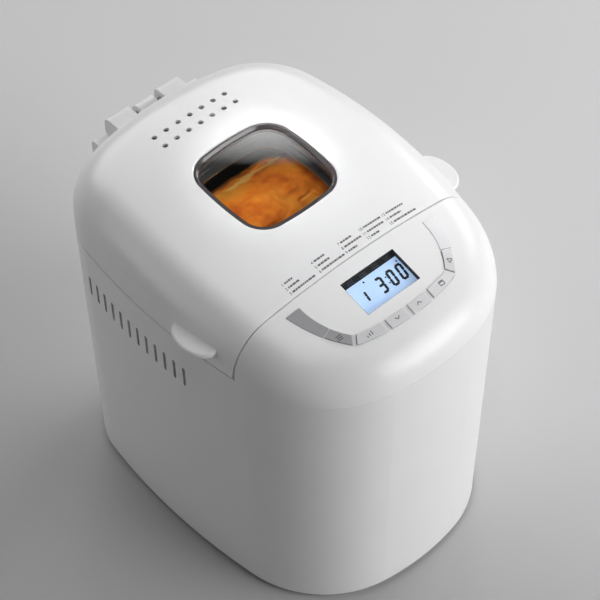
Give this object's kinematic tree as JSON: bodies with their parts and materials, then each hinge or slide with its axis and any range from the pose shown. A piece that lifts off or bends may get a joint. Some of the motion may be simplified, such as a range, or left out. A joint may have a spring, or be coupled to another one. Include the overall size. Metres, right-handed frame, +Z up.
{
  "type": "bread machine",
  "caption": "Free-standing bread machine with a hinged domed lid and window, sloped control panel with display and buttons, and a bayonet pan turned by a belt drive.",
  "frame": {"origin": "on the table, under the middle of the machine with its hinge blocks", "axes": "+Z up, +X to the right seen from the front, control panel facing -Y"},
  "size_m": [0.2734, 0.338, 0.3102],
  "materials": {
    "white_casing": "glossy moulded white plastic",
    "silver_trim": "silver-painted plastic, satin",
    "dark_frame": "dark glossy plastic",
    "clear_glass": "clear heat-proof glass",
    "display_cover": "clear plastic cover",
    "display": "pale blue liquid crystal",
    "circuit_board": "green solder mask",
    "black_plastic": "black moulded plastic",
    "sheet_steel": "aluminised sheet steel",
    "steel": "plain steel",
    "cast_aluminium": "cast, as left by the die",
    "non_stick": "dark non-stick coating",
    "bronze": "sintered bronze",
    "motor_iron": "lacquered steel",
    "black_rubber": "black rubber",
    "silicone": "pale silicone"
  },
  "bodies": {
    "base": {"body_shell": "white_casing", "top_deck": "white_casing", "hinge_knuckle": "white_casing", "lid_stops": "white_casing", "base_plate": "white_casing", "strip_trims": "silver_trim", "display_lens": "display_cover", "lcd_module": "display", "control_board": "circuit_board", "power_board": "circuit_board", "cord_gland": "black_plastic", "board_guides": "black_plastic", "power_components": "black_plastic", "tact_switches": "black_plastic", "chassis_plate": "sheet_steel", "chassis_posts": "sheet_steel", "chamber_liner": "sheet_steel", "element_clips": "sheet_steel", "hinge_pin": "steel", "base_screws": "steel", "chassis_screws": "steel", "socket_screws": "steel", "board_screws": "steel", "temperature_sensor": "steel", "heating_element": "steel", "pan_socket": "cast_aluminium", "drive_hub": "cast_aluminium", "drive_bushes": "bronze", "motor_case": "motor_iron", "motor_stator": "motor_iron", "feet": "black_rubber", "drive_belt": "black_rubber"},
    "lid": {"lid_shell": "white_casing", "lid_tabs": "white_casing", "lid_liner": "sheet_steel", "lid_seal": "silicone", "window_frame": "dark_frame", "window_glass": "clear_glass", "inner_glass": "clear_glass"},
    "drive": {"drive_shaft": "steel", "drive_coupling": "black_plastic", "large_pulley": "black_plastic", "pulley_nut": "steel"},
    "rotor": {"motor_rotor": "motor_iron", "motor_shaft": "steel", "motor_pulley": "black_plastic"},
    "pan": {"bread_pan": "non_stick", "pan_base": "cast_aluminium", "pan_ears": "steel", "pan_bush": "bronze"},
    "handle": {"pan_handle": "steel"},
    "paddle": {"pan_shaft": "steel", "pan_coupling": "black_plastic", "kneading_paddle": "non_stick"},
    "menu_key": {"menu_button": "silver_trim"},
    "loaf_size_key": {"loaf_size_button": "silver_trim"},
    "time_down_key": {"time_down_button": "silver_trim"},
    "time_up_key": {"time_up_button": "silver_trim"},
    "crust_key": {"crust_button": "silver_trim"},
    "start_key": {"start_button": "silver_trim"}
  },
  "joints": [
    {"name": "lid_hinge", "type": "hinge", "parent": "base", "child": "lid", "pos_m": [0, 0.161, 0.275], "axis": [-1, 0, 0], "range_deg": [0, 95]},
    {"name": "pan_twist", "type": "hinge", "parent": "base", "child": "pan", "pos_m": [0, 0.028, 0.0505], "axis": [0, 0, 1], "range_deg": [0, 12]},
    {"name": "handle_swing", "type": "hinge", "parent": "pan", "child": "handle", "pos_m": [0, 0.028, 0.2118], "axis": [1, 0, 0], "range_deg": [0, 180]},
    {"name": "motor_spin", "type": "hinge", "parent": "base", "child": "rotor", "pos_m": [0, -0.105, 0.0465], "axis": [0, 0, 1], "continuous": true},
    {"name": "drive_spin", "type": "hinge", "parent": "base", "child": "drive", "pos_m": [0, 0.028, 0.0505], "axis": [0, 0, 1], "continuous": true},
    {"name": "paddle_spin", "type": "hinge", "parent": "pan", "child": "paddle", "pos_m": [0, 0.028, 0.0505], "axis": [0, 0, 1], "continuous": true},
    {"name": "menu_press", "type": "slide", "parent": "base", "child": "menu_key", "axis": [0, 0.2444, -0.9697], "range_m": [0, 0.001], "stiffness_N_per_m": 500},
    {"name": "loaf_size_press", "type": "slide", "parent": "base", "child": "loaf_size_key", "axis": [0, 0.2444, -0.9697], "range_m": [0, 0.001], "stiffness_N_per_m": 500},
    {"name": "time_down_press", "type": "slide", "parent": "base", "child": "time_down_key", "axis": [0, 0.2444, -0.9697], "range_m": [0, 0.001], "stiffness_N_per_m": 500},
    {"name": "time_up_press", "type": "slide", "parent": "base", "child": "time_up_key", "axis": [0, 0.2444, -0.9697], "range_m": [0, 0.001], "stiffness_N_per_m": 500},
    {"name": "crust_press", "type": "slide", "parent": "base", "child": "crust_key", "axis": [0, 0.2444, -0.9697], "range_m": [0, 0.001], "stiffness_N_per_m": 500},
    {"name": "start_press", "type": "slide", "parent": "base", "child": "start_key", "axis": [0, 0.2444, -0.9697], "range_m": [0, 0.001], "stiffness_N_per_m": 500}
  ],
  "couplings": [
    {"joint": "drive_spin", "follows": "motor_spin", "ratio": 0.16111},
    {"joint": "paddle_spin", "follows": "motor_spin", "ratio": 0.16111}
  ]
}
